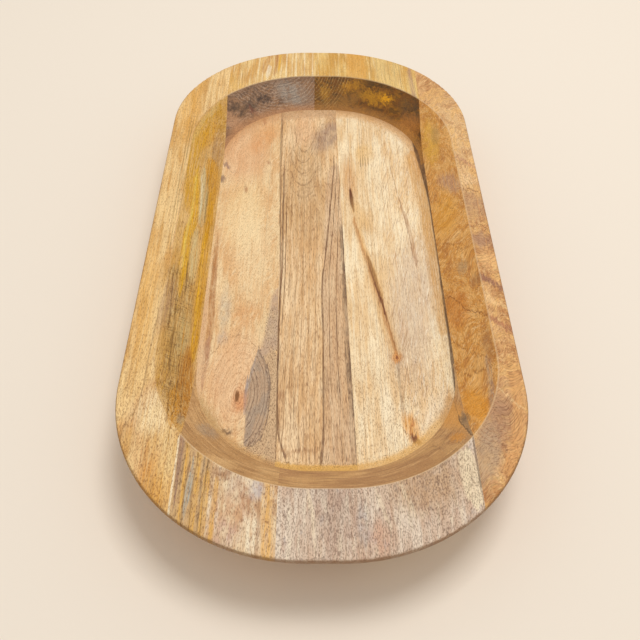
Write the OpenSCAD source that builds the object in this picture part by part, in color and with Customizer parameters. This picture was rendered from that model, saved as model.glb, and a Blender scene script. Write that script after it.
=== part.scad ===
// Long dough bowl with round ends, carved from a blank of glued hardwood boards.
// Two rails run the full height along the sides. Between them three boards make the floor,
// and two blocks at each end lie in rebates on the floor boards. One hollow is carved through all.
// The bowl rests on z = 0, its centre is over the origin, and its length lies along Y.

/* [Bowl] */
// Length of the bowl over its rim
bowl_length = 520; // [440:1:640]
// Width of the bowl over its rim
bowl_width = 250; // [230:1:320]
// Height from the face that it rests on to the top of the rim
bowl_height = 46; // [40:0.5:60]
// Straight stretch across the middle of each end, between the outer corners
end_straight = 20; // [10:1:60]

/* [Outer side] */
// Height of the upright lip at the edge of the rim
lip_height = 3; // [2:0.1:8]
// Radius that eases the outer top edge of the rim
lip_easing = 1.5; // [0.5:0.1:1.9]
// How far the foot is set in from the lip, all round
foot_inset = 44; // [38:0.5:52]
// Radius of the swelling side between the lip and the foot
side_radius = 120; // [80:1:300]

/* [Hollow] */
// Mean width of the flat rim along the two sides
side_rim_width = 16; // [12:0.5:19]
// Mean width of the flat rim across the two ends
end_rim_width = 42.5; // [36:0.5:60]
// Straight stretch across the middle of each end of the hollow
hollow_end_straight = 18; // [8:1:60]
// Depth of the hollow below the top of the rim
hollow_depth = 26; // [22:0.5:32]
// Slope of the hollow's wall, in degrees from level
wall_slope = 40.5; // [40:0.5:48]
// Radius of the cove between the wall and the flat floor
cove_radius = 16; // [10:0.5:18]
// Radius that eases the edge of the rim into the hollow
rim_easing = 1.2; // [0.8:0.1:4]
// How far the hollow is carved off centre, to the right
hollow_shift = 2; // [0:0.1:2.5]
// How far the hollow is turned inside the outline, in degrees
hollow_turn = 0.4; // [0:0.1:0.5]

/* [Boards] */
// Width of the left rail
left_rail_width = 42.5; // [41:0.5:50]
// Width of the right rail
right_rail_width = 37; // [37:0.5:46]
// Width of the left floor board at mid-length
left_floor_width = 51; // [40:0.5:60]
// Width of the centre floor board
centre_floor_width = 49.5; // [36:0.5:60]
// Turn of the centre floor board in the blank, in degrees
floor_board_turn = 1; // [0:0.1:1.5]
// Width of the front left end block
front_block_width = 57.5; // [40:0.5:90]
// Width of the back left end block
back_block_width = 77.5; // [50:0.5:100]
// Thickness of the end blocks, from the top of the rim to the floor boards
block_thickness = 21; // [16:0.5:24]
// Length of the end blocks, from the end of the bowl to the shoulders of the floor boards
block_length = 150; // [145:1:190]

/* [Hidden] */
// How far a cutting shape or an uncarved blank runs past the face that it cuts
overrun = 5;
// How far the rim's easing stands proud of the wall and the rim, to meet each in one clean line
easing_lift = 0.01;
// Smoothness of arcs and revolved faces
$fn = 96;

floor_top = bowl_height - hollow_depth;
block_foot = bowl_height - block_thickness;
block_end = bowl_length / 2 - block_length;
corner_radius = (bowl_width - end_straight) / 2;

hollow_width = bowl_width - 2 * side_rim_width;
hollow_length = bowl_length - 2 * end_rim_width;
hollow_corner_radius = (hollow_width - hollow_end_straight) / 2;
// Height of every shape that carves the hollow
carving_height = hollow_depth + overrun;

// Glue faces of the blank, from left to right, at mid-length
left_joint = left_rail_width - bowl_width / 2;
left_floor_joint = left_joint + left_floor_width;
right_floor_joint = left_floor_joint + centre_floor_width;
right_joint = bowl_width / 2 - right_rail_width;
front_joint = left_joint + front_block_width;
back_joint = left_joint + back_block_width;

// Edges of the uncarved blank
blank_x = bowl_width / 2 + overrun;
blank_y = bowl_length / 2 + overrun;
blank_top = bowl_height + overrun;

// One quarter of an oblong with round corners, which carries the child profile round its edge.
// The profile's x runs from minus the corner radius, over the corner's centre, to 0 at the edge,
// and a core from foot to top fills the middle.
module quarter_round(width, length, corner, foot, top) {
  middle = [width / 2 - corner, length / 2 - corner];
  translate([middle[0], middle[1], 0]) {
    rotate_extrude(angle = 90) translate([corner, 0]) children();
    rotate([90, 0, 0]) linear_extrude(height = middle[1]) translate([corner, 0]) children();
  }
  translate([0, middle[1], 0]) rotate([90, 0, 90])
    linear_extrude(height = middle[0]) translate([corner, 0]) children();
  translate([0, 0, foot]) cube([middle[0] + overrun, middle[1] + overrun, top - foot]);
}

module carried_round(width, length, corner, foot, top) {
  for (side = [0, 1], end = [0, 1])
    mirror([side, 0, 0]) mirror([0, end, 0])
      quarter_round(width, length, corner, foot, top) children();
}

// Cross-section of the outside: eased lip, swelling side and flat foot
module outer_profile() {
  chord = [-foot_inset, lip_height - bowl_height];
  rise = sqrt(pow(side_radius, 2) - pow(norm(chord) / 2, 2)) / norm(chord);
  side_centre = [0, bowl_height - lip_height] + chord / 2 + rise * [chord[1], -chord[0]];
  easing_centre = [-lip_easing, bowl_height - lip_easing];
  intersection() {
    translate([-corner_radius, 0]) square([corner_radius, bowl_height]);
    union() {
      translate([-blank_x, 0]) square([blank_x, bowl_height - lip_easing]);
      translate([-blank_x, 0]) square([blank_x - lip_easing, bowl_height]);
      translate(easing_centre) circle(lip_easing);
    }
    union() {
      translate(side_centre) circle(side_radius);
      translate([-blank_x, -overrun]) square([blank_x - foot_inset - overrun, blank_top + overrun]);
    }
  }
}

// Cross-section of the hollow: flat floor, cove, sloping wall and eased rim.
// Its z starts at the centre of the cove, and the wall is drawn along a turned axis.
module hollow_profile() {
  cove_reach = hollow_depth / tan(wall_slope) + cove_radius * tan(wall_slope / 2);
  wall_length = easing_lift + hollow_depth / sin(wall_slope)
    - (cove_radius + rim_easing) * tan(wall_slope / 2);
  translate([-hollow_corner_radius, -cove_radius])
    square([hollow_corner_radius - cove_reach, carving_height]);
  translate([-cove_reach, 0]) {
    circle(cove_radius);
    rotate(wall_slope) {
      translate([0, -cove_radius]) square([wall_length, carving_height]);
      difference() {
        translate([wall_length, -cove_radius - rim_easing])
          square([rim_easing * sin(wall_slope), carving_height + rim_easing]);
        translate([wall_length, -cove_radius - rim_easing]) circle(rim_easing);
      }
    }
  }
}

module outer_form() {
  carried_round(bowl_width, bowl_length, corner_radius, 0, bowl_height) outer_profile();
}

module hollow() {
  translate([hollow_shift, 0, floor_top + cove_radius]) rotate([0, 0, hollow_turn])
    carried_round(hollow_width, hollow_length, hollow_corner_radius,
      -cove_radius, carving_height - cove_radius) hollow_profile();
}

// Carves the child, a piece of the glued blank, to the bowl's outside and its hollow
module carved() {
  difference() {
    intersection() {
      outer_form();
      children();
    }
    hollow();
  }
}

module blank(x, y, z) {
  translate([x[0], y[0], z[0]]) cube([x[1] - x[0], y[1] - y[0], z[1] - z[0]]);
}

// A floor board's blank, whose glue faces pass left and right at mid-length, each at its own turn.
// Its ends are rebated for the end blocks.
module floor_blank(left, right, left_turn, right_turn) {
  left_drift = blank_y * tan(left_turn);
  right_drift = blank_y * tan(right_turn);
  difference() {
    translate([0, 0, -overrun]) linear_extrude(height = blank_top + overrun)
      polygon([
        [left + left_drift, -blank_y], [right + right_drift, -blank_y],
        [right - right_drift, blank_y], [left - left_drift, blank_y]
      ]);
    for (end = [0, 1]) mirror([0, end, 0])
      blank([-blank_x, blank_x], [block_end, blank_y + overrun], [block_foot, blank_top + overrun]);
  }
}

module left_rail() {
  color("burlywood") carved()
    blank([-blank_x, left_joint], [-blank_y, blank_y], [-overrun, blank_top]);
}

module right_rail() {
  color("peru") carved()
    blank([right_joint, blank_x], [-blank_y, blank_y], [-overrun, blank_top]);
}

module front_left_block() {
  color("tan") carved()
    blank([left_joint, front_joint], [-blank_y, -block_end], [block_foot, blank_top]);
}

module front_right_block() {
  color("rosybrown") carved()
    blank([front_joint, right_joint], [-blank_y, -block_end], [block_foot, blank_top]);
}

module back_left_block() {
  color("goldenrod") carved()
    blank([left_joint, back_joint], [block_end, blank_y], [block_foot, blank_top]);
}

module back_right_block() {
  color("sandybrown") carved()
    blank([back_joint, right_joint], [block_end, blank_y], [block_foot, blank_top]);
}

module left_floor_board() {
  color("peachpuff") carved()
    floor_blank(left_joint, left_floor_joint, 0, floor_board_turn);
}

module centre_floor_board() {
  color("wheat") carved()
    floor_blank(left_floor_joint, right_floor_joint, floor_board_turn, floor_board_turn);
}

module right_floor_board() {
  color("cornsilk") carved()
    floor_blank(right_floor_joint, right_joint, floor_board_turn, 0);
}

left_rail();
right_rail();
front_left_block();
front_right_block();
back_left_block();
back_right_block();
left_floor_board();
centre_floor_board();
right_floor_board();
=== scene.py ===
"""Long dough bowl of nine glued and carved boards, with its wood, a pale floor and soft light.

The bowl lies along Y with its near end at -Y, rests on z = 0 and is in metres. Inside the wood
materials all places and sizes are in millimetres along the same axes.
"""
from contextlib import contextmanager
import math

import bpy
from mathutils import Matrix, Vector


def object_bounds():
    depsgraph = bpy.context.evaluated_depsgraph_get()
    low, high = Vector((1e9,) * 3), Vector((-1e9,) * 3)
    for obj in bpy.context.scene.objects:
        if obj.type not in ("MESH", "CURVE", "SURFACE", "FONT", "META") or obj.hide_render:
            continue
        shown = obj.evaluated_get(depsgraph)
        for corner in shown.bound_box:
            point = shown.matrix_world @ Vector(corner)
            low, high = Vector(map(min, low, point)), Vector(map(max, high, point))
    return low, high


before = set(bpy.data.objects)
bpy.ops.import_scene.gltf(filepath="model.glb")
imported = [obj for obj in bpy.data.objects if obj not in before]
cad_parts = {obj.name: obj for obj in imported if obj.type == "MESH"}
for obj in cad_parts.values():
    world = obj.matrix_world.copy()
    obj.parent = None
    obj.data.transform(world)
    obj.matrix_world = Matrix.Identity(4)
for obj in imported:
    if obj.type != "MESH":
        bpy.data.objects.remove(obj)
cad_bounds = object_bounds()

MM_PER_M = 1000.0
# Half the bowl's width and length, and the height of its rim
HALF_WIDTH, HALF_LENGTH, RIM = (round(side * MM_PER_M, 3) for side in cad_bounds[1])
# Radius of the outline's corners, which are quarter circles
CORNER_RADIUS = 115.0
# Height of the hollow's floor
HOLLOW_FLOOR = 20.0
# The surface halfway through the carved shell parts the hollow's side from the outer side. At the rim
# it is so far out from a corner's centre, and it comes in by so much for each millimetre down.
SHELL_MIDDLE = 107.0
SHELL_LEAN = 0.92
SHELL_FADE = 2.0
# Higher than any of the wood
ABOVE_ALL = 60.0

# Curves over the bowl's plan run from -HALF_SPAN to HALF_SPAN along both axes
HALF_SPAN = 270.0
# The figure of each board starts this far from that of the board before it
BOARD_STEP = (137.0, 71.0, 53.0)
# Slow noise that sways the figure and quick noise that frays its edges: stretch and scale
DRIFT = ((1, 0.35, 1), 0.022)
FRAY = ((1, 0.12, 1), 0.6)
# How far they move the grain and the edges of what is painted
GRAIN_DRIFT = (8, 16, 0)
EDGE_DRIFT = (3, 8, 0)
EDGE_FRAY = (0.9, 14.0, 0)
RING_DRIFT = 6.0
RING_FRAY = (1.2, 5, 1.2)
# How much a vein, region or zone hides of what is under it, where it says nothing else
USUAL_AMOUNT = 0.6

# A painted highlight makes the hollow's edge pale, and painted shade makes the outer lip dark, each down to
# its depth below
EDGE_HIGHLIGHT_COLOUR = "ecd2aa"
EDGE_HIGHLIGHT_DEPTH = 0.75
# Painted shade on the outer lip: its colour, depth and strength
LIP_SHADE_COLOUR = "7a5024"
LIP_SHADE_DEPTH = 4.0
LIP_SHADE_AMOUNT = 0.6
ROUGHNESS = 0.56
ROUGHNESS_SWING = 0.07
PIT_DEPTH_M = 0.0003

# The photograph's view: the camera stands off the near end and looks down
CAMERA_PLACE = (-0.0073, -0.4503, 0.432)
CAMERA_DOWN_TILT = math.radians(47.0)
CAMERA_YAW = 0.017
CAMERA_ROLL = 0.018
CAMERA_LENS = 45.06
CAMERA_SENSOR = 36.0
CAMERA_CLIP_START = 0.01

FLOOR_SIZE = 12.0
FLOOR_DROP = 0.0002
FLOOR_COLOUR = "ece0d1"

LAMP_PLACE = (0.5, 0.42, 2.55)
LAMP_SIZE = 1.1
LAMP_POWER = 33.5
SURROUND_COLOUR = "fffdf8"
SURROUND_STRENGTH = 0.63


def linear(hex_colour):
    """A colour written as six hexadecimal digits, as the linear values that a shader takes."""
    shares = [int(hex_colour[i:i + 2], 16) / 255 for i in (0, 2, 4)]
    return tuple(s / 12.92 if s <= 0.04045 else ((s + 0.055) / 1.055) ** 2.4 for s in shares)


def on_plan(place):
    """A place in millimetres along X or Y, as a share of the plan that the curves run over."""
    return 0.5 + 0.5 * place / HALF_SPAN


class Wood:
    """The wood of one board, built up in layers of colour from its ground to its pores."""

    def __init__(self, name, ground, light, seed):
        self.name = name
        self.material = bpy.data.materials.new(name + "_wood")
        self.material.use_nodes = True
        self.tree = self.material.node_tree
        self.tree.nodes.clear()
        self.where = None
        self.find_place(seed)
        self.find_hollow()
        broad = self.noise(self.stretched(15, 55), 3.0)
        streaks = self.noise(self.stretched(2.4, 45), 4.0, roughness=0.6)
        mottle = self.calculate("ADD", self.calculate("MULTIPLY", broad, 0.55),
                                self.calculate("MULTIPLY", streaks, 0.45))
        self.colour = self.mixed(self.ramp(mottle, 0.4, 0.6), ground, light)
        self.pits = 0.0

    def find_place(self, seed):
        """Where a point of the wood is: truly, in this board's own noise, and swayed with the figure."""
        source = self.tree.nodes.new("ShaderNodeTexCoord").outputs["Object"]
        self.place = self.scaled(source, MM_PER_M)
        self.own = self.vector("ADD", self.place, tuple(seed * step for step in BOARD_STEP))
        self.drift = self.centred_noise(*DRIFT)
        self.fray = self.centred_noise(*FRAY)
        slow = self.vector("MULTIPLY", self.drift, EDGE_DRIFT)
        quick = self.vector("MULTIPLY", self.fray, EDGE_FRAY)
        self.swayed = self.vector("ADD", self.own, self.vector("MULTIPLY", self.drift, GRAIN_DRIFT))
        self.warped = self.vector("ADD", self.place, self.vector("ADD", slow, quick))
        parts = self.tree.nodes.new("ShaderNodeSeparateXYZ")
        self.feed(parts.inputs[0], self.warped)
        self.plan_x = self.calculate("MULTIPLY_ADD", parts.outputs[0], 0.5 / HALF_SPAN, 0.5)
        self.plan_y = self.calculate("MULTIPLY_ADD", parts.outputs[1], 0.5 / HALF_SPAN, 0.5)
        self.height = parts.outputs[2]

    def find_hollow(self):
        """How far out a point is from the centre of its corner, and 1 on the hollow's side of the shell."""
        corner = (HALF_WIDTH - CORNER_RADIUS, HALF_LENGTH - CORNER_RADIUS, 0)
        offset = self.vector("SUBTRACT", self.vector("ABSOLUTE", self.place), corner)
        offset = self.vector("MULTIPLY", self.vector("MAXIMUM", offset, (0, 0, 0)), (1, 1, 0))
        self.reach = self.vector("LENGTH", offset)
        middle = self.calculate("MULTIPLY_ADD", self.height, SHELL_LEAN, SHELL_MIDDLE - SHELL_LEAN * RIM)
        beyond = self.calculate("SUBTRACT", self.reach, middle)
        self.inside = self.both(self.ramp(beyond, SHELL_FADE, -SHELL_FADE),
                                self.ramp(self.height, HOLLOW_FLOOR - 8, HOLLOW_FLOOR - 2))

    def feed(self, socket, value):
        """Gives a socket another node's output, or a plain number, vector or colour."""
        if isinstance(value, bpy.types.NodeSocket):
            self.tree.links.new(value, socket)
        elif isinstance(value, str):
            socket.default_value = (*linear(value), 1.0)
        else:
            socket.default_value = value

    def calculate(self, operation, *values, clamp=False):
        node = self.tree.nodes.new("ShaderNodeMath")
        node.operation = operation
        node.use_clamp = clamp
        for socket, value in zip(node.inputs, values):
            self.feed(socket, value)
        return node.outputs[0]

    def vector(self, operation, *values):
        """A vector calculation. Its result is a number for a length."""
        node = self.tree.nodes.new("ShaderNodeVectorMath")
        node.operation = operation
        for socket, value in zip(node.inputs, values):
            self.feed(socket, value)
        return node.outputs["Value" if operation == "LENGTH" else "Vector"]

    def scaled(self, place, factor):
        """A vector multiplied by one number."""
        node = self.tree.nodes.new("ShaderNodeVectorMath")
        node.operation = "SCALE"
        self.feed(node.inputs[0], place)
        self.feed(node.inputs["Scale"], factor)
        return node.outputs[0]

    def turned(self, place, degrees):
        """A place turned about Z."""
        node = self.tree.nodes.new("ShaderNodeVectorRotate")
        node.rotation_type = "Z_AXIS"
        self.feed(node.inputs["Vector"], place)
        node.inputs["Angle"].default_value = math.radians(degrees)
        return node.outputs[0]

    def ramp(self, value, low, high, out_low=0.0, out_high=1.0):
        """Maps value smoothly from low..high to out_low..out_high and holds it there beyond them."""
        node = self.tree.nodes.new("ShaderNodeMapRange")
        node.interpolation_type = "SMOOTHSTEP"
        for name, entry in (("Value", value), ("From Min", low), ("From Max", high),
                            ("To Min", out_low), ("To Max", out_high)):
            self.feed(node.inputs[name], entry)
        return node.outputs["Result"]

    def noise(self, place, detail=3.0, scale=1.0, roughness=0.55, colour=False):
        """Cloudy noise, mostly between 0.3 and 0.7, as a number or as a colour."""
        node = self.tree.nodes.new("ShaderNodeTexNoise")
        self.feed(node.inputs["Vector"], place)
        node.inputs["Scale"].default_value = scale
        node.inputs["Detail"].default_value = detail
        node.inputs["Roughness"].default_value = roughness
        return node.outputs["Color" if colour else "Fac"]

    def centred_noise(self, stretch, scale):
        """Noise along all three axes, about 0."""
        cloud = self.noise(self.vector("MULTIPLY", self.own, stretch), 2.0, scale, colour=True)
        return self.vector("SUBTRACT", cloud, (0.5, 0.5, 0.5))

    def stretched(self, across, along, turn=0.0, swirl=0.0):
        """The board's place, for noise with grains so many millimetres across and along it."""
        place = self.swayed
        if swirl:
            place = self.vector("ADD", place, self.scaled(self.drift, swirl))
        if turn:
            place = self.turned(place, turn)
        return self.vector("MULTIPLY", place, (1 / across, 1 / along, 1 / across))

    def mixed(self, amount, first, second, blend="MIX"):
        """The first colour with so much of the second laid over it."""
        node = self.tree.nodes.new("ShaderNodeMix")
        node.data_type = "RGBA"
        node.blend_type = blend
        # A Mix node's sockets for its factor and its two colours
        for index, value in ((0, amount), (6, first), (7, second)):
            self.feed(node.inputs[index], value)
        return node.outputs[2]

    def both(self, *masks):
        """The product of several masks."""
        result = masks[0]
        for mask in masks[1:]:
            result = self.calculate("MULTIPLY", result, mask)
        return result

    def heights(self, low, high=ABOVE_ALL, fade=0.5):
        """1 between two heights above the table and 0 outside them, with soft ends."""
        return self.both(self.ramp(self.height, low - fade, low + fade),
                         self.ramp(self.height, high - fade, high + fade, 1.0, 0.0))

    def faces(self):
        """Two masks: the hollow up to its edge, and all that is outside it, with the rim."""
        hollow = self.both(self.heights(0, RIM - 0.5), self.inside)
        return hollow, self.calculate("SUBTRACT", 1.0, hollow)

    def above(self, rise, fade):
        """1 in the hollow from so far above its floor, and 0 under that and on the outer side."""
        height = HOLLOW_FLOOR + rise
        return self.both(self.ramp(self.height, height - fade, height + fade), self.inside)

    def past(self, axis, start, fade=8.0):
        """1 from start outward along an axis, on the side of start's own sign."""
        value = self.plan_x if axis == "x" else self.plan_y
        fade = math.copysign(fade, start)
        return self.ramp(value, on_plan(start - fade), on_plan(start + fade))

    @contextmanager
    def only(self, mask):
        """Keeps the layers painted under it to a mask, where they name none of their own."""
        before = self.where
        self.where = mask
        yield
        self.where = before

    def paint(self, mask, colour, amount=1.0, where=None, blend="MIX", broken=0.0, fibrous=0.0):
        """Lays a colour where the mask is 1. broken leaves gaps in it, fibrous runs it out in fibres."""
        if broken:
            gaps = self.noise(self.stretched(5, 9), 4.0, roughness=0.65)
            mask = self.both(mask, self.ramp(gaps, 0.36, 0.56, 1 - broken, 1.0))
        if fibrous:
            fibres = self.noise(self.stretched(0.9, 26), 3.0)
            mask = self.both(mask, self.ramp(fibres, 0.4, 0.58, 1 - fibrous, 1.0))
        where = self.where if where is None else where
        if where is not None:
            mask = self.both(mask, where)
        self.colour = self.mixed(self.calculate("MULTIPLY", mask, amount, clamp=True),
                                 self.colour, colour, blend)

    def curve(self, value, points):
        """A number that follows points, (place along the run, level), both in millimetres."""
        node = self.tree.nodes.new("ShaderNodeFloatCurve")
        node.mapping.extend = "HORIZONTAL"
        line = node.mapping.curves[0]
        spots = [tuple(map(on_plan, point)) for point in sorted(points)]
        line.points[0].location = spots[0]
        line.points[1].location = spots[-1]
        for spot in spots[1:-1]:
            line.points.new(*spot)
        for point in line.points:
            point.handle_type = "AUTO_CLAMPED"
        node.mapping.update()
        self.feed(node.inputs["Value"], value)
        return node.outputs[0]

    def vein(self, colour, points, width, amount=USUAL_AMOUNT, soft=0.5, along="y", tail=8.0, **how):
        """A line through points (x, y), with one width or one for each point, and tapered ends."""
        run, across = (self.plan_y, self.plan_x) if along == "y" else (self.plan_x, self.plan_y)
        middle = [(y, x) for x, y in points] if along == "y" else points
        widths = width if isinstance(width, (list, tuple)) else [width] * len(points)
        halves = sorted((m[0], w / 2) for m, w in zip(middle, widths))
        tip = 0.01
        halves = [(halves[0][0] - tail, tip), *halves, (halves[-1][0] + tail, tip)]
        # A curve's own 0 is at -HALF_SPAN
        halves = [(at, half - HALF_SPAN) for at, half in halves]
        off = self.calculate("ABSOLUTE", self.calculate("SUBTRACT", across, self.curve(run, middle)))
        share = self.calculate("DIVIDE", off, self.curve(run, halves))
        self.paint(self.ramp(share, 1 + soft, 1 - soft), colour, amount, **how)

    def between(self, left, right, soft=1.5, tail=8.0):
        """1 between two lines of points (x, y) along the board, closing beyond their ends."""
        edges = [sorted((y, x) for x, y in line) for line in (left, right)]
        for end, step in ((0, -tail), (-1, tail)):
            middle = (edges[0][end][1] + edges[1][end][1]) / 2
            for edge, shift in zip(edges, (2 * soft, -2 * soft)):
                closed = (edge[end][0] + step, middle + shift)
                edge.insert(0 if end == 0 else len(edge), closed)
        fade = 0.5 * soft / HALF_SPAN
        sides = [self.ramp(self.calculate("SUBTRACT", self.plan_x, self.curve(self.plan_y, edge)), low, high)
                 for edge, low, high in zip(edges, (-fade, fade), (fade, -fade))]
        return self.both(*sides)

    def region(self, colour, left, right, amount=USUAL_AMOUNT, soft=1.5, tail=8.0, **how):
        """A patch of colour between two lines."""
        self.paint(self.between(left, right, soft, tail), colour, amount, **how)

    def zone(self, colour, centre, size, amount=USUAL_AMOUNT, turn=0.0, soft=0.5, **how):
        """A soft patch round a centre (x, y). size is half its width and half its length."""
        offset = self.vector("SUBTRACT", self.warped, (*centre, 0))
        if turn:
            offset = self.turned(offset, -turn)
        share = self.vector("LENGTH", self.vector("MULTIPLY", offset, (1 / size[0], 1 / size[1], 0)))
        self.paint(self.ramp(share, 1 + soft, 1 - soft), colour, amount, **how)

    def rings(self, colour, centre, spacing, stretch=1.0, reach=(0, 30), amount=0.4, thick=0.35,
              wobble=1.0, **how):
        """Growth lines round a centre (x, y, z), drawn out along the board, from and to a reach."""
        place = self.vector("ADD", self.place, self.scaled(self.drift, RING_DRIFT * wobble))
        place = self.vector("ADD", place, self.vector("MULTIPLY", self.fray, RING_FRAY))
        offset = self.vector("SUBTRACT", place, centre)
        radius = self.vector("LENGTH", self.vector("MULTIPLY", offset, (1, 1 / stretch, 1)))
        order = self.calculate("FRACT", self.calculate("MULTIPLY", radius, 1 / spacing))
        line = self.both(self.ramp(order, 1 - thick, 1 - thick / 4), self.ramp(order, 1.0, 0.97),
                         self.ramp(radius, reach[0] - 1, reach[0] + 1),
                         self.ramp(radius, reach[1] + 3, reach[1] - 3))
        self.paint(line, colour, amount, **how)

    def fibre(self, colour, amount=0.25, across=1.6, along=40.0, low=0.5, high=0.7, turn=0.0, swirl=0.0,
              **how):
        """Fine lengthwise lines of darker or lighter wood."""
        value = self.noise(self.stretched(across, along, turn, swirl), 4.0, roughness=0.62)
        self.paint(self.ramp(value, low, high), colour, amount, **how)

    def pores(self, colour="946a46", amount=0.5, across=0.45, along=1.7, low=0.53, high=0.66, turn=0.0,
              swirl=0.0, **how):
        """Open pores as short dark flecks, which are also pits in the surface."""
        value = self.noise(self.stretched(across, along, turn, swirl), 1.0)
        spots = self.ramp(value, low, high)
        self.paint(spots, colour, amount, blend="MULTIPLY", **how)
        self.pits = self.calculate("MAXIMUM", self.pits, spots)

    def grain(self, contrast, across=0.7, along=14.0, turn=0.0, swirl=0.0):
        """Fine light and dark lines over all painted so far."""
        value = self.noise(self.stretched(across, along, turn, swirl), 3.0, roughness=0.7)
        self.colour = self.scaled(self.colour, self.ramp(value, 0.3, 0.7, 1 + contrast, 1 - contrast))

    def finish(self, edge=EDGE_HIGHLIGHT_COLOUR, edge_highlight=0.35):
        """Ends the tree with its shader: oiled wood, with a painted highlight along the hollow's edge and
        painted shade at the lip.
        """
        # Painted highlight: a pale line painted along the hollow's edge, where light catches it
        self.paint(self.heights(RIM - EDGE_HIGHLIGHT_DEPTH, RIM - 0.08, 0.06), edge, edge_highlight, where=self.inside)
        # Painted shade: the outer lip is painted dark just below the rim
        lip = self.ramp(self.reach, CORNER_RADIUS - 1.6, CORNER_RADIUS - 0.2)
        self.paint(self.heights(RIM - LIP_SHADE_DEPTH, RIM - 0.3, 0.4), LIP_SHADE_COLOUR, LIP_SHADE_AMOUNT, where=lip)
        grain = self.noise(self.stretched(1.1, 14), 4.0, roughness=0.6)
        surface = self.calculate("SUBTRACT", self.calculate("MULTIPLY", grain, 0.5), self.pits)
        bump = self.tree.nodes.new("ShaderNodeBump")
        bump.inputs["Strength"].default_value = 0.3
        bump.inputs["Distance"].default_value = PIT_DEPTH_M
        self.feed(bump.inputs["Height"], surface)
        shader = self.tree.nodes.new("ShaderNodeBsdfPrincipled")
        self.feed(shader.inputs["Base Color"], self.colour)
        rough = self.ramp(grain, 0.25, 0.75, ROUGHNESS - ROUGHNESS_SWING, ROUGHNESS + ROUGHNESS_SWING)
        self.feed(shader.inputs["Roughness"], rough)
        shader.inputs["Specular IOR Level"].default_value = 0.3
        self.feed(shader.inputs["Normal"], bump.outputs[0])
        output = self.tree.nodes.new("ShaderNodeOutputMaterial")
        self.feed(output.inputs["Surface"], shader.outputs[0])
        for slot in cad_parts[self.name].material_slots:
            slot.material = self.material


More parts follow.
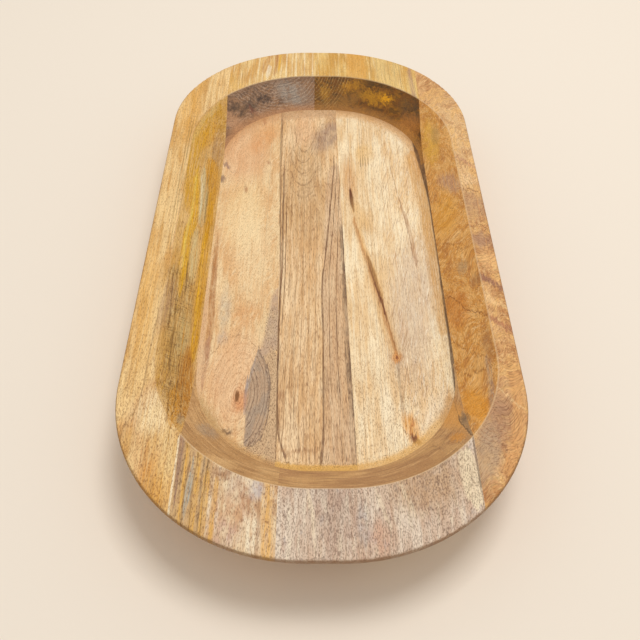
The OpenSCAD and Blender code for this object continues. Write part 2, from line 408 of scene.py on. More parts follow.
def left_rail():
    """Golden sapwood with a mustard, grey and olive wall."""
    wood = Wood("left_rail", "d4a15a", "ecc78b", seed=1)
    wall = wood.faces()[0]
    wood.fibre("c58f4e", 0.45, along=90)
    wood.fibre("f5dcaa", 0.35, across=2.2, along=50, low=0.55)
    wood.zone("e0a548", (-112, 170), (8, 60), fibrous=0.7)
    for x in (-110.5, -108.5, -106):
        wood.vein("9c7c46", [(x, 130), (x - 0.5, 60), (x, 0)], 0.9, 0.55, fibrous=0.7, tail=30)
    wood.zone("c07c42", (-103, -196), (5, 24), 0.5, turn=14, fibrous=0.7, broken=0.4)
    wood.zone("c98a4c", (-108, -160), (5, 30), 0.45, turn=-24, broken=0.5)
    wood.zone("c98a4c", (-96, -205), (4, 26), 0.4, turn=-20, broken=0.5)
    wood.zone("f8e0b2", (-99, -164), (13, 16), 0.7, fibrous=0.5)
    wood.zone("f3d79c", (-88, -196), (5, 22), fibrous=0.5)
    wood.zone("e0a040", (-95, -218), (8, 20), fibrous=0.7)
    wood.zone("e6ae58", (-117, -80), (5, 60), 0.55, turn=4, fibrous=0.7)
    # Mustard and grey streaks down the wall
    wood.paint(wall, "c49546", 0.7, fibrous=0.5)
    with wood.only(wall):
        wood.vein("d09a1e", [(-88, 168), (-94, 156), (-99, 140), (-102.5, 118), (-103.5, 92), (-103, 60),
                             (-101, 30)], [4, 6, 7, 8, 8, 8, 5], 0.85, fibrous=0.7)
        wood.vein("d8b468", [(-90, 169), (-97, 156), (-102, 140), (-106, 116)], 2.5, 0.7, fibrous=0.7)
        wood.zone("be8c26", (-87, 156), (4, 16), 0.8, fibrous=0.6)
        wood.zone("d49a1c", (-95, 134), (3.6, 18), 0.85, turn=-12, fibrous=0.4)
        wood.zone("b08656", (-87.5, 124), (5, 22), 0.75, fibrous=0.4)
    wood.fibre("dcbc90", 0.6, across=0.9, along=9, low=0.54, high=0.62,
               where=wood.between([(-92, 140), (-92, 110)], [(-83, 150), (-83, 104)], soft=2))
    with wood.only(wall):
        wood.region("c98e1c", [(-94, 104), (-91, 60), (-88, 30)], [(-86, 104), (-84, 60), (-84, 30)], 0.9,
                    fibrous=0.6)
        wood.vein("c4b183", [(-95, 86), (-93, 58), (-92, 24)], [3, 6.5, 3.5], 0.85, fibrous=0.7)
        wood.vein("e2d6b0", [(-95.5, 74), (-94, 52), (-93.6, 34)], 1.3, 0.8, fibrous=0.7)
        wood.vein("6e5c30", [(-91, 80), (-90, 56), (-89.6, 30)], 1.1, 0.7, fibrous=0.7)
        wood.vein("d3c08c", [(-94, 10), (-93, -16), (-92, -40)], [3, 5.5, 3.5], 0.8, fibrous=0.7)
        wood.vein("8a7848", [(-97, 14), (-96, -14), (-95, -34)], 0.9, fibrous=0.7)
    # Olive stretch of the wall, ribbed across its grain
    olive = wood.between([(-107, -44), (-105, -70), (-101, -110), (-97, -150)],
                         [(-90, -44), (-89, -70), (-88, -110), (-86, -150)], soft=4, tail=14)
    wood.paint(olive, "b48a48", 0.8, fibrous=0.4)
    with wood.only(olive):
        wood.fibre("6e4e22", 0.6, across=7, along=0.9, turn=-14, low=0.52, high=0.62)
        wood.fibre("6e4e22", 0.4, across=0.8, along=40, low=0.54, high=0.64)
        wood.fibre("dcbe84", 0.6, across=1.1, along=14, low=0.52, high=0.64)
    wood.zone("b08a68", (-104, -74), (3.5, 26), turn=-4, fibrous=0.6)
    wood.zone("ccb47a", (-92, -92), (3.5, 16), 0.5, fibrous=0.7)
    # Yellow streaks at the wall's foot
    with wood.only(wall):
        wood.vein("dba51e", [(-99, 80), (-98, 57), (-97, 20), (-99, -2), (-98, -28), (-98, -56)],
                  [3, 5, 5, 5, 4.5, 2], 1, fibrous=0.6)
        wood.vein("e8c860", [(-99.5, 70), (-99, 30), (-100, 0), (-99, -30)], 1.4, 0.85, fibrous=0.7)
        wood.vein("cc9212", [(-87, 64), (-87, 16), (-86.5, -14), (-86.5, -46), (-86, -72), (-85.5, -96),
                             (-86, -108)], [3, 4.5, 5, 5.5, 4.6, 4, 4], 1, fibrous=0.5)
        wood.vein("e8b226", [(-88, 10), (-87.6, -20), (-87, -60), (-86.6, -90)], 1.5, 0.65, fibrous=0.7)
        wood.vein("b4792a", [(-88, -107), (-87, -137), (-86, -160)], [4, 9, 8], 1, fibrous=0.7)
    wood.vein("c88c2c", [(-92, -146), (-89, -170)], [6, 7], 0.85, fibrous=0.7)
    # Dark streaks
    for points in ([(-96, -30), (-95, -52)], [(-99, -66), (-98, -106)], [(-98, -93), (-97, -128)],
                   [(-103, -50), (-101, -88)], [(-92, -120), (-90, -160)], [(-95, -140), (-92, -166)],
                   [(-88, -140), (-86, -164)]):
        wood.vein("6b4a22", points, 0.9, fibrous=0.7)
    wood.zone("9a8a70", (-85, -166), (2, 5), 0.5)
    # Growth line on the rim, and the pale joint beside the front block
    wood.vein("946a3a", [(-108, -92), (-109, -121), (-109, -142), (-110, -155), (-113, -170), (-117, -178)],
              0.9, tail=12, fibrous=0.3)
    wood.vein("f5e4c2", [(-83, -186), (-83, -212), (-83, -240)], 1.1, 0.75,
              where=wood.heights(RIM - 1))
    wood.pores(along=3)
    wood.pores(amount=0.45, across=0.7, along=1.6, low=0.56, high=0.66, where=wood.past("y", -110, 50))
    wood.grain(0.12)
    # Only a faint painted highlight along the hollow's edge
    wood.finish(edge_highlight=0.1)


def right_rail():
    """Brown wood with a curled, cloudy figure, and cracks across its wall."""
    wood = Wood("right_rail", "be8650", "daa870", seed=2)
    wall, rim = wood.faces()
    wood.zone("e6bf8a", (112, 120), (20, 66), 0.7)
    wood.paint(wall, "d0903e", 0.85)
    clouds = wood.noise(wood.stretched(9, 15, 35, 60), 3.0)
    wood.paint(wood.ramp(clouds, 0.51, 0.57), "e6b26a", 0.55)
    wood.paint(wood.ramp(clouds, 0.47, 0.4), "ac6e38", 0.45)
    wood.fibre("e8ba78", 0.65, across=1.5, along=8, turn=40, swirl=60, high=0.64)
    wood.fibre("f0c98e", 0.45, across=4, along=7, turn=70, swirl=90, low=0.56, high=0.66)
    wood.fibre("9a5e2c", 0.45, across=1.3, along=9, turn=50, swirl=60, low=0.54, high=0.66)
    # Bands and rings on the rim
    with wood.only(rim):
        wood.zone("b28a68", (116, 30), (12, 16), turn=-10, broken=0.4)
        wood.zone("f0cb98", (112, 62), (10, 8), broken=0.4)
        wood.zone("ad8468", (117, -9), (8, 8), 0.7, turn=-30, broken=0.3)
        wood.zone("ecb878", (120, -30), (7, 8), 0.7)
        wood.vein("98664e", [(107, -42), (117, -53), (127, -60)], 7, 0.85, along="x", broken=0.3)
        wood.vein("efc58c", [(107, -64), (116, -72), (127, -80)], 7, 0.5, along="x", broken=0.3)
        wood.vein("a8684a", [(106, -84), (115, -91), (124, -98)], 7, 0.7, along="x", broken=0.3)
        wood.vein("b98060", [(106, 96), (114, 90), (122, 80)], 5, 0.5, along="x", broken=0.4)
        wood.zone("ab8262", (103, -170), (9, 24), 0.75, turn=-14, broken=0.3)
        wood.zone("b39474", (94, -194), (8, 20), 0.8, turn=-14, broken=0.2)
        wood.vein("d69c5e", [(120, -140), (117, -165), (113, -185), (105, -204)], 7, 0.65)
        for points in ([(108, 49), (116, 50.5), (125, 44)], [(110, 5), (117, 7.5), (126, 2)]):
            wood.vein("85552f", points, 0.9, 0.65, along="x")
        for x, y, reach in ((101, -170, (5, 17)), (113, -17, (3, 16)), (106, 52, (4, 14))):
            wood.rings("935f38", (x, y, RIM), 2.6, stretch=1.3, reach=reach, amount=0.42)
        wood.vein("ecc890", [(104, -146), (111, -150), (115, -156), (118, -163)], 1.4, 0.5, along="x")
    # Patches and cracks on the wall
    with wood.only(wall):
        wood.zone("deab40", (95, 128), (6, 26), 0.7, broken=0.6)
        wood.zone("b8937c", (103, 66), (5, 16), 0.65, turn=18, fibrous=0.5)
        wood.zone("8e7a5c", (99, 134), (3, 10), 0.4, broken=0.5)
        wood.zone("e3a234", (96, 34), (8, 22), 0.5, broken=0.4)
        wood.zone("c4782a", (94, -66), (8, 16), 0.55)
        wood.zone("a58e6e", (102, -30), (3.5, 7), 0.5, broken=0.4)
        wood.zone("966740", (108, -48), (3, 6), broken=0.3)
        wood.zone("9d6a40", (107.5, -108), (3, 14), broken=0.3)
        wood.zone("de9424", (95, -155), (6, 18), 0.65, turn=8)
        wood.vein("9b8d82", [(106, -124), (104.5, -146), (101, -168)], 3.4, 0.5, soft=0.8, fibrous=0.6)
        for points, amount in (([(88, -48), (94, -55), (99, -68), (110, -84)], 0.75),
                               ([(87, -92), (93, -98), (100, -112), (106, -120)], 0.5),
                               ([(89, -118), (95, -124), (102, -126)], 0.5),
                               ([(88, 8), (98, -2), (104, -14)], 0.45),
                               ([(88, 60), (94, 52), (101, 36)], 0.4)):
            wood.vein("8f5824", points, [0.8, 1.4, 1.6, 1.2][:len(points)], amount, along="x")
        wood.zone("74583e", (88.6, -162), (1.4, 4), 0.55)
    wood.pores(turn=40, swirl=50, along=3.2, amount=0.45)
    wood.grain(0.16, across=0.9, along=7, turn=42, swirl=60)
    # A warmer colour for the painted highlight along the hollow's edge
    wood.finish(edge="f3d3a6")


def block_wall(wood, wall, dark, light):
    """The end grain of a front block, where the hollow runs down through it."""
    wood.paint(wall, light, 0.95)
    clouds = wood.noise(wood.stretched(30, 12), 3.0)
    lines = wood.noise(wood.vector("MULTIPLY", wood.swayed, (0.05, 0.05, 1.1)), 3.0)
    with wood.only(wall):
        wood.paint(wood.ramp(clouds, 0.4, 0.6), dark, 0.7)
        wood.paint(wood.ramp(lines, 0.52, 0.64), "8c6540", 0.5)
        wood.paint(wood.ramp(lines, 0.45, 0.36), "deb27c", 0.5)


def front_left_block():
    """Striped wood beside the left rail, pink and mottled further right."""
    wood = Wood("front_left_block", "cda274", "ead0a8", seed=3)
    wall, rim = wood.faces()
    wood.fibre("b58a62", 0.4, across=4, along=9, high=0.62)
    wood.fibre("f5e6cc", 0.5, across=3, along=14, low=0.54, high=0.66)
    # Stripes
    wood.region("c8a06a", [(-84, -190), (-84, -245)], [(-63, -190), (-65, -245)], 0.8, soft=3)
    wood.vein("94705c", [(-81.6, -180), (-81.4, -206), (-81.2, -224)], [3.4, 2.6, 1.2], 0.8, fibrous=0.5,
              where=rim)
    for x, width, start in ((-78, 2.6, -184), (-71, 3, -190), (-65.5, 3.4, -212), (-60, 2.4, -220)):
        wood.vein("e0a94c", [(x, start), (x + 0.5, -215), (x, -252)], width, 0.85, fibrous=0.6)
    wood.vein("a3a59c", [(-74, -202), (-74.3, -216), (-75, -230)], [1.4, 2.8, 1.4], 0.85, fibrous=0.6)
    for x, start, stop in ((-67, -190, -236), (-65, -192, -240), (-71.5, -196, -238), (-78.5, -186, -220),
                           (-75.8, -204, -236)):
        wood.vein("6b4f36", [(x, start), (x - 0.8, -214), (x - 0.4, stop)], 1.0, 0.65, fibrous=0.8)
    # Mottled middle
    wood.zone("a06c44", (-55, -207), (7, 5), 0.75, broken=0.9)
    wood.zone("a97a54", (-50, -216), (3, 8), 0.5, turn=-30, broken=0.8)
    wood.zone("f4e4ca", (-44, -216), (9, 12), fibrous=0.4, broken=0.4)
    wood.zone("c9966e", (-48, -232), (12, 12), broken=0.9)
    wood.zone("b07c54", (-42, -222), (4, 12), turn=24, broken=0.9)
    wood.zone("f8e8c8", (-38, -246), (7, 12), 0.7, fibrous=0.6)
    wood.zone("bd938a", (-52, -246), (7, 8), 0.45, broken=0.7)
    # Orange stripe near the joint
    wood.vein("e5b062", [(-31, -206), (-30, -235), (-29, -258)], [3, 6, 6], 0.85, fibrous=0.6)
    wood.vein("a97e5a", [(-34.5, -214), (-34.5, -256)], 1.6, fibrous=0.6)
    wood.zone("b9afb0", (-36, -218), (4, 6), broken=0.4)
    block_wall(wood, wall, "ad7f4e", "cda26c")
    wood.zone("a3917c", (-70, -168), (6, 6), 0.5, where=wall, broken=0.3)
    wood.fibre("a8744c", 0.35, across=3, along=3, low=0.55, high=0.65, where=rim)
    wood.pores("80583c", 0.5, across=0.6, along=2, where=rim)
    wood.pores(amount=0.35, where=wall)
    wood.grain(0.1, along=5)
    wood.finish()


def front_right_block():
    """Greyish wood full of pores, with a pale strip beside the right rail."""
    wood = Wood("front_right_block", "cbab90", "e2cdb6", seed=4)
    wall, rim = wood.faces()
    wood.fibre("bb947c", 0.5, across=5, along=20, high=0.66)
    wood.fibre("b0a8a4", 0.4, across=6, along=14, low=0.57, high=0.68)
    wood.fibre("ecdabc", 0.5, across=3, along=22, low=0.55, high=0.66)
    wood.zone("ab8c78", (6, -225), (10, 30), 0.4, broken=0.4)
    wood.zone("cf9a7c", (30, -246), (6, 9), 0.45, broken=0.6)
    wood.zone("abaaac", (22, -238), (4, 12), 0.4, broken=0.6)
    wood.zone("bd946a", (56, -208), (24, 22), 0.8, broken=0.3)
    for points in ([(-10, -214), (-6, -232), (-4, -250)], [(28, -212), (32, -226), (36, -238)],
                   [(40, -208), (46, -222), (50, -232)]):
        wood.vein("eed9b6", points, [1, 2.4, 1.4], 0.5, fibrous=0.5)
    wood.region("eed9b4", [(77, -196), (79, -225)], [(86, -196), (88, -225)], 0.85, fibrous=0.3)
    wood.pores("765842", 0.5, across=0.6, along=1.5, low=0.5, high=0.63, swirl=14, where=rim)
    wood.pores("765842", 0.4, across=0.6, along=4, low=0.56, high=0.66, swirl=10, where=rim)
    wood.vein("6e5438", [(87.2, -183), (87.4, -202), (87.5, -216)], 1.1, 0.65, tail=4)
    block_wall(wood, wall, "aa7c52", "c4965f")
    # The wall's orange corner and its cracks
    with wood.only(wall):
        wood.zone("d89a4e", (79, -150), (8, 26), 0.75, turn=20)
        for points in ([(62, -190), (68, -184), (76, -182)], [(66, -178), (70, -186), (73, -192)],
                       [(74, -172), (77, -180), (80, -186)]):
            wood.vein("7a5a3c", points, 0.8, along="x", broken=0.4)
        wood.zone("d8923a", (80, -179), (4, 4))
        wood.region("92785a", [(85, -158), (84, -164), (85.4, -173), (87.4, -182)], [(89, -158), (89, -182)],
                    0.8, soft=0.6, tail=3, broken=0.4)
        wood.zone("725a42", (86.4, -162), (2, 3.6), broken=0.5)
        wood.vein("604a34", [(84.6, -158), (84, -164), (85.6, -173), (87.6, -182)], 0.6, 0.7, tail=3)
        wood.pores(amount=0.35)
    wood.grain(0.08, along=4)
    wood.finish()


def back_left_block():
    """Golden, straight-grained rim over a grey and knotty wall."""
    wood = Wood("back_left_block", "d5a157", "eecb8a", seed=5)
    wall, rim = wood.faces()
    wood.fibre("bd8a48", 0.55, across=1.4, along=50)
    wood.fibre("f7e2b6", 0.6, along=50, low=0.54, high=0.66)
    wood.vein("c0803a", [(-52, 226), (-50, 240), (-47, 252)], 5, 0.8, fibrous=0.7)
    wood.vein("b0703a", [(-42, 222), (-41, 240), (-40, 256)], 2.5, 0.7, fibrous=0.7)
    wood.vein("efe2cc", [(-48, 219), (-47, 230)], 4, fibrous=0.5)
    wood.vein("e8b23a", [(-38, 232), (-37, 250)], 2.4, 0.8, fibrous=0.6)
    for x in (-57, -31, -22, -14, -6.5):
        wood.vein("f5e4bc", [(x, 222), (x, 254)], 1.2, fibrous=0.5, tail=20)
    wood.zone("e5b35a", (-76, 200), (5, 30), 0.5, turn=20, fibrous=0.6)
    # End grain, rings, dark knots, warm foot of the wall and painted shade along its top
    wood.paint(wall, "946d4d", 0.97)
    with wood.only(wall):
        wood.fibre("b99678", 0.5, across=9, along=6, swirl=50, low=0.48, high=0.6)
        wood.fibre("5c4436", 0.6, across=2.4, along=14, turn=64, swirl=60, high=0.58)
        wood.zone("9f968a", (-24, 203), (16, 8), 0.75, turn=-6, broken=0.6)
        wood.zone("9c7450", (-10, 207), (9, 10), 0.5, broken=0.4)
        wood.rings("6e5644", (-42, 232, 56), 2.1, reach=(12, 60), amount=0.5, thick=0.4, wobble=2.5,
                   broken=0.4)
        wood.rings("cdb49c", (-42, 232, 57), 3.1, reach=(12, 60), amount=0.45, thick=0.4, wobble=2.5,
                   broken=0.6)
        wood.zone("54402f", (-75, 174), (8, 5), 0.85, turn=30, broken=0.9)
        wood.zone("5b4534", (-64, 184), (9, 4), 0.8, turn=30, broken=0.95)
        wood.zone("4a3629", (-53, 194), (9, 3.5), 0.9, turn=10, broken=0.8)
        wood.zone("7d4430", (-61, 181), (4, 2.5), 0.65, broken=0.5)
        wood.zone("c4946c", (-78, 164), (9, 7), 0.7, broken=0.4)
        wood.paint(wood.heights(HOLLOW_FLOOR + 2, HOLLOW_FLOOR + 8, 3), "c28c5e", 0.7)
        # Painted shade: the top of the wall darkened just under the rim, where the rim's shadow falls
        wood.paint(wood.heights(RIM - 3.5, RIM, 1.2), "6b503c", 0.3)
    wood.pores(where=rim)
    wood.pores("6a4c3a", 0.5, along=1.2, where=wall)
    wood.grain(0.12)
    # A weak painted highlight along the hollow's edge
    wood.finish(edge_highlight=0.2)


def back_right_block():
    """Golden, straight-grained rim over an olive wall with yellow flames."""
    wood = Wood("back_right_block", "d4a04a", "eac67e", seed=6)
    wall, rim = wood.faces()
    wood.fibre("b98844", 0.55, across=1.4, along=50)
    wood.fibre("f5dfac", 0.6, along=50, low=0.54, high=0.66)
    wood.region("dda044", [(25, 214), (25, 262)], [(43, 214), (43, 262)], 0.7, soft=1.0, fibrous=0.2)
    for x, start in ((47, 215), (53, 212), (60, 208), (64, 204), (69, 200), (74, 196)):
        wood.vein("97835c", [(x, start), (x, start + 42)], 0.9, 0.5, fibrous=0.7, tail=2)
    wood.zone("d9b878", (62, 222), (16, 24), 0.5, fibrous=0.6)
    wood.vein("ad8670", [(84, 180), (83, 225)], 4, 0.7, fibrous=0.4)
    wood.vein("c98f3a", [(13, 220), (13, 258)], 3, 0.5, fibrous=0.6)
    # End grain, flames, rings and warm foot of the wall
    wood.paint(wall, "784706", 0.98)
    with wood.only(wall):
        wood.fibre("a26b12", 0.55, across=9, along=6, swirl=50, low=0.48, high=0.6)
        wood.fibre("48310a", 0.6, across=2.4, along=14, turn=110, swirl=60, high=0.58)
        wood.fibre("5c400f", 0.5, across=7, along=5, swirl=50, low=0.55, high=0.65)
        wood.zone("966a2e", (20, 199), (20, 4), broken=0.4)
        wood.zone("cf942a", (5, 207), (5, 5), broken=0.7)
        wood.zone("c98c1c", (30, 209), (12, 4), broken=0.7)
        wood.zone("c68a14", (50, 196), (15, 5), 0.7, turn=-24, broken=0.8)
        wood.zone("e09c08", (60, 191.5), (7, 2.5), 0.9, turn=-24, broken=0.3)
        wood.zone("4c3508", (52, 207), (18, 3.5), turn=-16, broken=0.7)
        wood.zone("5e4426", (80, 172), (7, 14), 0.75, turn=25, broken=0.7)
        wood.zone("c07c34", (78, 160), (8, 12), turn=25, broken=0.4)
        wood.rings("d3b06c", (-26, 228, 52), 2.6, reach=(24, 56), wobble=2, broken=0.5)
        wood.rings("4f3812", (-26, 228, 53), 3.4, reach=(24, 56), wobble=2, broken=0.5)
        wood.paint(wood.heights(HOLLOW_FLOOR + 2, HOLLOW_FLOOR + 8, 3), "bd8442", 0.6)
    wood.pores(where=rim)
    wood.pores("5c4020", 0.5, along=1.2, where=wall)
    wood.grain(0.12)
    # A weak painted highlight along the hollow's edge
    wood.finish(edge_highlight=0.2)


def left_floor_board():
    """Peach board with a knot near its front end, cut by dark heartwood."""
    wood = Wood("left_floor_board", "dfb17b", "eccd9d", seed=7)
    cove = wood.above(1.5, 1.5)
    wood.fibre("cb955e", 0.4, across=1.4, along=30, turn=14, swirl=30)
    wood.fibre("f7dfb4", 0.45, along=20, turn=16, swirl=30, low=0.54, high=0.66)
    wood.zone("e3b184", (-66, 128), (20, 36))
    wood.zone("dd9d62", (-52, 150), (9, 20), turn=-20, broken=0.4)
    wood.zone("e2a66a", (-44, 165), (9, 16), 0.5, broken=0.4)
    wood.zone("f2d39c", (-62, 50), (16, 40), fibrous=0.5)
    wood.zone("f6dcae", (-54, 10), (12, 50), turn=8, fibrous=0.6)
    wood.zone("d99c62", (-54, -62), (9, 12), 0.5, turn=-30, broken=0.8)
    wood.zone("bcae9c", (-68, -56), (4, 20), 0.45, broken=0.6)
    wood.zone("b4aaa0", (-68, -84), (3.5, 6), 0.5, broken=0.5)
    wood.vein("b88a5c", [(-66, -50), (-58, -46), (-48, -52)], 0.9, 0.5, along="x")
    wood.vein("b88a5c", [(-66, -60), (-58, -57), (-50, -66)], 0.9, 0.4, along="x")
    wood.zone("ebbe92", (-56, -118), (18, 38))
    # Rings round the knot
    wood.rings("b98252", (-55, -129, HOLLOW_FLOOR), 3.4, stretch=2.4, reach=(5, 20), thick=0.25, wobble=1.6,
               broken=0.6)
    wood.rings("c4946a", (-54, -127, HOLLOW_FLOOR), 1.5, stretch=2.4, reach=(5, 18), amount=0.3, thick=0.4,
               wobble=1.2, broken=0.7)
    # Dark wood beside the joint, and the heartwood in it
    wood.region("bd9f86", [(-33, -36), (-38, -70), (-41, -92), (-43, -100)],
                [(-29, -36), (-29, -70), (-29, -92), (-36, -100)], 0.8, broken=0.3)
    wood.region("cdab84", [(-40, -100), (-36, -118), (-34, -140), (-37, -160), (-46, -176)],
                [(-28, -100), (-28, -118), (-27, -140), (-24, -160), (-22, -190)], 0.85, soft=1.2, tail=4)
    heart = wood.between([(-43, -96), (-48, -118), (-50, -132), (-48, -150), (-48, -170)],
                         [(-42, -96), (-36, -112), (-34, -130), (-36, -155), (-42, -170)], soft=0.8, tail=3)
    wood.paint(heart, "b8987a", 0.95)
    with wood.only(heart):
        wood.paint(wood.ramp(wood.noise(wood.stretched(7, 20)), 0.5, 0.62), "a3907e", 0.6)
        wood.vein("a09a98", [(-45, -104), (-47, -116), (-49.5, -136)], 1.8, 0.4)
        wood.rings("66503e", (-55, -133, HOLLOW_FLOOR), 2.2, stretch=2.3, reach=(4, 24), amount=0.6,
                   wobble=1.4, broken=0.4)
        wood.rings("d2b898", (-55, -133, HOLLOW_FLOOR), 1.7, stretch=2.3, reach=(4, 24), amount=0.5,
                   wobble=1.4, broken=0.5)
        wood.fibre("8a715c", 0.3, across=1.2, along=20)
    wood.vein("7a6252", [(-43, -94), (-37, -108), (-34, -126), (-34, -142), (-37, -162), (-42, -171),
                         (-46, -174)], 0.9, 0.7, tail=3)
    wood.vein("8f8f98", [(-49, -124), (-49.6, -134), (-49, -142)], 1.6, 0.4)
    # The knot
    wood.zone("dc9660", (-52.6, -137), (4, 8), 0.75, soft=0.7)
    wood.rings("a8663a", (-54, -133, HOLLOW_FLOOR), 1.5, stretch=2.4, reach=(1.5, 5), amount=0.5, thick=0.5,
               wobble=0.3)
    wood.zone("8a5a2e", (-54.5, -133), (1.4, 3.6), 1, soft=0.3)
    # Streaks and flaws
    wood.vein("9a6a3e", [(-75, -100), (-68, -88), (-61, -82), (-54, -82), (-45, -93)], 0.7, 0.7, along="x",
              tail=4)
    wood.vein("e0b78c", [(-84, 20), (-83, -20), (-81, -60), (-80.5, -100), (-79, -136)], 3, 0.7)
    wood.vein("ac6e34", [(-79, 8), (-78, -26), (-77.5, -52), (-76.5, -72), (-77, -92)],
              [2.6, 3.8, 4.4, 4.2, 3], 0.82, soft=0.3, fibrous=0.4, broken=0.4, tail=16)
    wood.vein("b88a6c", [(-77, -92), (-77, -124)], [4, 2], fibrous=0.5)
    wood.zone("7d5a5a", (-80, 112), (3, 3), broken=0.6)
    wood.zone("6d4c48", (-82, 92), (2.6, 4), 0.7, broken=0.6)
    wood.vein("94705e", [(-84, 126), (-80, 116), (-75, 104)], 0.9, 0.5, along="x")
    wood.zone("5f4636", (-59, -161), (3, 3), 0.85, broken=0.8)
    for x, y in ((-50, 176), (-44, 118), (-62, 82)):
        wood.zone("a86c42", (x, y), (1.6, 4), broken=0.6)
    wood.vein("6a4a30", [(-35, 190), (-34.4, 120), (-33, 40)], 0.7)
    # Darker cove at both ends
    far = wood.past("y", 130, 20)
    wood.paint(cove, "d09a68", 0.5, where=far)
    wood.paint(wood.above(4, 1.6), "bb8450", 0.4, where=far)
    wood.paint(cove, "c79860", 0.8, where=wood.past("y", -158, 14))
    wood.zone("bd9964", (-76, -152), (9, 22), 0.75, turn=30, broken=0.3)
    wood.pores(amount=0.4, across=0.4, swirl=12)
    dark = wood.between([(-41, -60), (-36, -118), (-35, -150), (-50, -176)],
                        [(-28, -60), (-28, -118), (-28, -150), (-26, -190)], soft=2)
    wood.pores("755840", amount=0.65, low=0.54, high=0.64, where=dark)
    wood.grain(0.08, across=0.8, along=9, turn=10, swirl=30)
    wood.finish()


def centre_floor_board():
    """Tan board with a pointed figure at its far end and dark lines along it."""
    wood = Wood("centre_floor_board", "daae7a", "f0d0a4", seed=8)
    wood.fibre("b5865a", 0.5, across=1.1, along=80)
    wood.fibre("eed0a2", 0.5, across=1.4, along=50, low=0.54, high=0.66)
    wood.zone("bd925e", (-12, 80), (18, 70), 0.5, fibrous=0.4)
    wood.zone("e6b688", (-14, 168), (10, 24), broken=0.4)
    wood.zone("a08270", (7, 160), (11, 24), 0.7, turn=-20, broken=0.5)
    flames = wood.between([(-25, 60), (-26, 110), (-27, 170)], [(-1, 60), (0, 110), (1, 170)], soft=4)
    wood.rings("855e38", (-13.5, 215, HOLLOW_FLOOR), 2.5, stretch=6.5, reach=(10, 23), amount=0.55,
               thick=0.22, wobble=1.6, where=flames, broken=0.5)
    wood.rings("a9835a", (-12.5, 206, HOLLOW_FLOOR), 1.1, stretch=6.5, reach=(5, 22), amount=0.3, thick=0.4,
               wobble=1.6, where=flames, broken=0.6)
    wood.region("caa786", [(8, 110), (3, 40), (1, -40), (2, -120), (0, -192)],
                [(19, 110), (18, 40), (19, -40), (21, -120), (23, -192)], 0.5, soft=1.0, fibrous=0.3)
    # Growth lines and joints
    for points, width in (([(-30, 100), (-29.5, 0), (-29.8, -54), (-29.4, -90), (-28.6, -124), (-27.5, -152),
                            (-25, -171), (-19, -188)], 1.4),
                          ([(12, 112), (8, 60), (3, 0), (1, -26), (1.5, -100), (1, -165), (-2, -194)], 1.3),
                          ([(14, 100), (10, 40), (6, -30), (6, -90)], 0.6),
                          ([(16, 90), (13, 20), (11, -60), (12, -130)], 0.6),
                          ([(-27, 60), (-27, -30), (-27.5, -60)], 0.6),
                          ([(18, 70), (17, 20), (17, -40)], 0.7)):
        wood.vein("6d4424", points, width, 0.8, fibrous=0.35, tail=20)
    wood.region("4f3a2a", [(14.6, 30), (16, -80), (17, -120), (18, -190)],
                [(17.5, 30), (19.6, -80), (20.4, -120), (22, -190)], soft=0.6, fibrous=0.7, broken=0.7)
    wood.vein("4a3424", [(17.2, 30), (18.8, -70), (19.8, -120), (21, -190)], [0.6, 0.8, 1.3, 1.0],
              fibrous=0.6, broken=0.3)
    wood.vein("6a4628", [(-34.3, 190), (-31, 0), (-27.9, -180)], 1.0, 0.7, fibrous=0.3)
    for x in (-24, -19, -14, -9, -4):
        wood.vein("9c744a", [(x + 1, 60), (x, -60), (x - 0.6, -180)], 0.7, fibrous=0.8, tail=30)
    wood.fibre("7c5636", 0.5, across=0.7, along=24, low=0.57, high=0.65, where=wood.past("y", -80, 50))
    wood.zone("93603a", (-26, -133), (2.5, 3.5), broken=0.6)
    wood.vein("b07e50", [(-22, -176), (-10, -176), (0, -174)], 3, 0.5, along="x", broken=0.5)
    # Cove at both ends
    wood.paint(wood.above(1, 1), "c79c70", 0.6, where=wood.past("y", 150, 10))
    wood.paint(wood.above(0.8, 0.6), "e0ae5c", 0.9, where=wood.past("y", -184, 3))
    wood.pores(along=4)
    wood.pores("80583a", 0.3, across=0.4, along=5, low=0.55, high=0.65, where=wood.past("y", -90, 60))
    wood.grain(0.13, along=24)
    wood.finish()


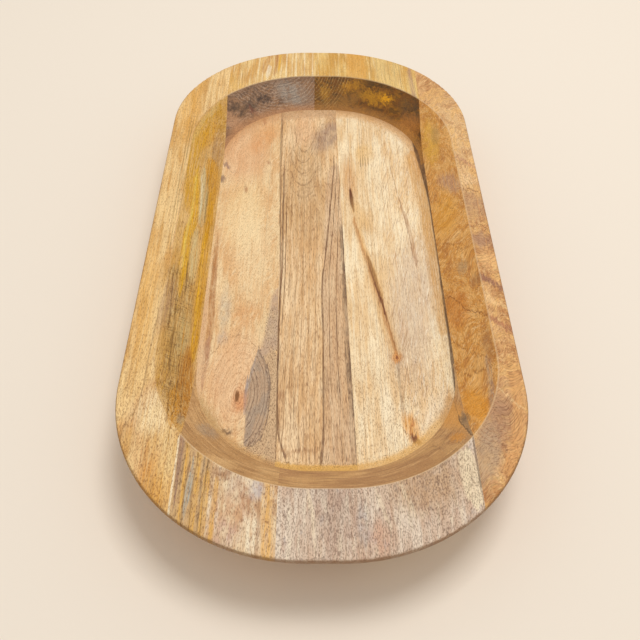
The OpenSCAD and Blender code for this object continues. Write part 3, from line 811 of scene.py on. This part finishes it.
def right_floor_board():
    """Cream board with three knots, a long crack and a dark joint to the rail."""
    wood = Wood("right_floor_board", "e8c492", "f7e1ba", seed=9)
    cove = wood.above(1.5, 1.5)
    wood.fibre("d8b07c", 0.45, across=1.8, along=60)
    wood.fibre("faeccd", 0.4, along=50, low=0.54, high=0.66)
    wood.zone("d3baa0", (68, -40), (17, 60), 0.7, turn=-8, fibrous=0.4)
    wood.zone("c9a888", (60, -100), (14, 34), 0.5, fibrous=0.6)
    wood.fibre("a87c58", 0.5, across=1.1, along=20, turn=12, low=0.54, high=0.66,
               where=wood.past("x", 45, 10))
    wood.fibre("f8ecd6", 0.5, across=1.0, along=14, turn=12, low=0.55, high=0.65,
               where=wood.past("x", 50, 10))
    wood.region("d59c50", [(75, 130), (79, 60), (80, 0), (82, -80)],
                [(90, 130), (90, 60), (90, 0), (90, -80)], 0.75, soft=3, fibrous=0.5)
    # Small knot, and the crack that runs from it to a larger one
    wood.zone("cb8c46", (24.5, 92), (5, 30), 0.75, turn=3, soft=0.7, fibrous=0.4)
    wood.vein("6a3a1c", [(25, 80), (26, 66), (27, 56)], [1.6, 3, 1.4], 1, tail=5)
    wood.zone("e0b06c", (32, 48), (5, 20), 0.45, turn=14)
    wood.vein("e0b274", [(27, 42), (34, 4), (40, -32), (45, -66), (51, -98)], [3, 5, 9, 8, 5], soft=0.9)
    wood.vein("bb8046", [(27, 42), (34, 4), (40.5, -32), (45.6, -66), (51, -98)], [2, 2.6, 4.4, 3.2, 2], 0.8,
              soft=0.7, fibrous=0.3)
    wood.vein("6f3a1a", [(35.5, 2), (38.5, -16), (42, -38), (46, -62)], [1, 2.6, 2.6, 0.8], 0.95)
    wood.vein("96632e", [(46, -62), (49, -82), (51, -98)], 1.0)
    wood.vein("deac66", [(31, 30), (40, -20), (44, -40)], 3, 0.4)
    wood.vein("8a8074", [(51, -104), (51, -128), (52, -150)], [2.5, 2, 1.5], 0.35, fibrous=0.5)
    wood.zone("d9954e", (51, -101), (3.4, 4.6), 0.8)
    wood.rings("9a5a2a", (51, -101, HOLLOW_FLOOR), 1.3, reach=(1, 4), amount=0.6, thick=0.5, wobble=0.4)
    wood.zone("8a4c24", (51, -101), (0.9, 1.4), 0.9, soft=0.4)
    # Streaks and ticks
    wood.vein("966338", [(60, 112), (64, 78), (67, 52), (69, 30), (70, 8)], 0.8, 0.65, fibrous=0.7)
    wood.vein("b07e54", [(66, 62), (70, 30), (72, -6)], [1.5, 3, 2.5], fibrous=0.6)
    for x, y in ((37, 122), (39, 121), (41.5, 119), (35, 120)):
        wood.vein("7d5630", [(x, y + 5), (x, y - 5)], 0.8, 0.7, tail=3)
    wood.zone("e4b568", (38, 132), (8, 14), 0.35)
    # Knot near the front end
    wood.zone("e29a30", (56, -158), (4.4, 13), 0.85, turn=14, fibrous=0.4)
    wood.vein("b8702c", [(57, -154), (55, -160)], 1.2, 0.7, tail=5)
    wood.zone("74361c", (58, -168), (2.2, 5.5), 0.95, turn=20, soft=0.4)
    wood.vein("7d5a3a", [(48, -154), (53, -162), (58, -168)], 0.8, along="x")
    wood.zone("fbeccc", (42, -146), (4, 22), fibrous=0.3)
    wood.zone("f3dfc2", (72, -150), (8, 18), 0.5, turn=-20, fibrous=0.3)
    # Cove, and the joint to the rail
    wood.paint(cove, "d89e5c", 0.6, where=wood.past("y", 96, 20))
    wood.paint(wood.above(4, 1.6), "ad7844", 0.5, where=wood.past("y", 90, 14))
    wood.paint(wood.above(0.8, 0.8), "e6b262", 0.7, where=wood.past("y", -150, 8))
    wood.zone("c9914c", (80, -146), (8, 24), 0.7, turn=16, where=cove)
    joint = [(81, 150), (84, 112), (86.2, 80), (87, 50), (87.1, -10), (86.9, -60), (86.5, -105), (85.4, -140)]
    wood.region("5d3f26", joint, [(90, y) for x, y in joint], 0.9, soft=0.5, tail=3, broken=0.2,
                where=wood.inside)
    wood.pores(amount=0.35, across=0.4, along=3)
    near = wood.both(wood.past("y", -90, 50), wood.past("x", 10, 5))
    wood.pores("80603e", 0.5, low=0.57, high=0.66, where=near)
    wood.grain(0.09, along=22)
    wood.finish()


def floor():
    """A plain pale floor that keeps the bowl's soft shadow."""
    bpy.ops.mesh.primitive_plane_add(size=FLOOR_SIZE, location=(0, 0, -FLOOR_DROP))
    plane = bpy.context.object
    plane.name = "floor"
    material = bpy.data.materials.new("floor")
    material.use_nodes = True
    shader = material.node_tree.nodes["Principled BSDF"]
    shader.inputs["Base Color"].default_value = (*linear(FLOOR_COLOUR), 1.0)
    shader.inputs["Roughness"].default_value = 0.9
    shader.inputs["Specular IOR Level"].default_value = 0.1
    plane.data.materials.append(material)


def light():
    """One large soft lamp from the back right that faces the bowl, in an even pale surround."""
    lamp = bpy.data.lights.new("key", "AREA")
    lamp.shape = "SQUARE"
    lamp.size = LAMP_SIZE
    lamp.energy = LAMP_POWER
    holder = bpy.data.objects.new("key", lamp)
    holder.location = LAMP_PLACE
    holder.rotation_euler = (-Vector(LAMP_PLACE)).to_track_quat("-Z", "Y").to_euler()
    bpy.context.scene.collection.objects.link(holder)
    world = bpy.data.worlds.new("surround")
    bpy.context.scene.world = world
    world.use_nodes = True
    shade = world.node_tree.nodes["Background"]
    shade.inputs["Color"].default_value = (*linear(SURROUND_COLOUR), 1.0)
    shade.inputs["Strength"].default_value = SURROUND_STRENGTH


def camera():
    """The photograph's view: down by the tilt, turned by the yaw, then rolled about its own axis."""
    heading = Vector((math.sin(CAMERA_YAW), math.cos(CAMERA_YAW), 0))
    ahead = heading * math.cos(CAMERA_DOWN_TILT) - Vector((0, 0, math.sin(CAMERA_DOWN_TILT)))
    level_right = Vector((heading.y, -heading.x, 0))
    level_down = ahead.cross(level_right)
    right = level_right * math.cos(CAMERA_ROLL) - level_down * math.sin(CAMERA_ROLL)
    down = level_right * math.sin(CAMERA_ROLL) + level_down * math.cos(CAMERA_ROLL)
    turn = Matrix((right, -down, -ahead)).transposed().to_4x4()
    data = bpy.data.cameras.new("camera")
    data.sensor_width = CAMERA_SENSOR
    data.lens = CAMERA_LENS
    data.clip_start = CAMERA_CLIP_START
    holder = bpy.data.objects.new("camera", data)
    holder.matrix_world = Matrix.Translation(CAMERA_PLACE) @ turn
    bpy.context.scene.collection.objects.link(holder)
    bpy.context.scene.camera = holder


for build in (left_rail, right_rail, front_left_block, front_right_block, back_left_block,
              back_right_block, left_floor_board, centre_floor_board, right_floor_board,
              floor, light, camera):
    build()

bpy.context.scene.view_settings.view_transform = "Standard"
bpy.context.view_layer.update()
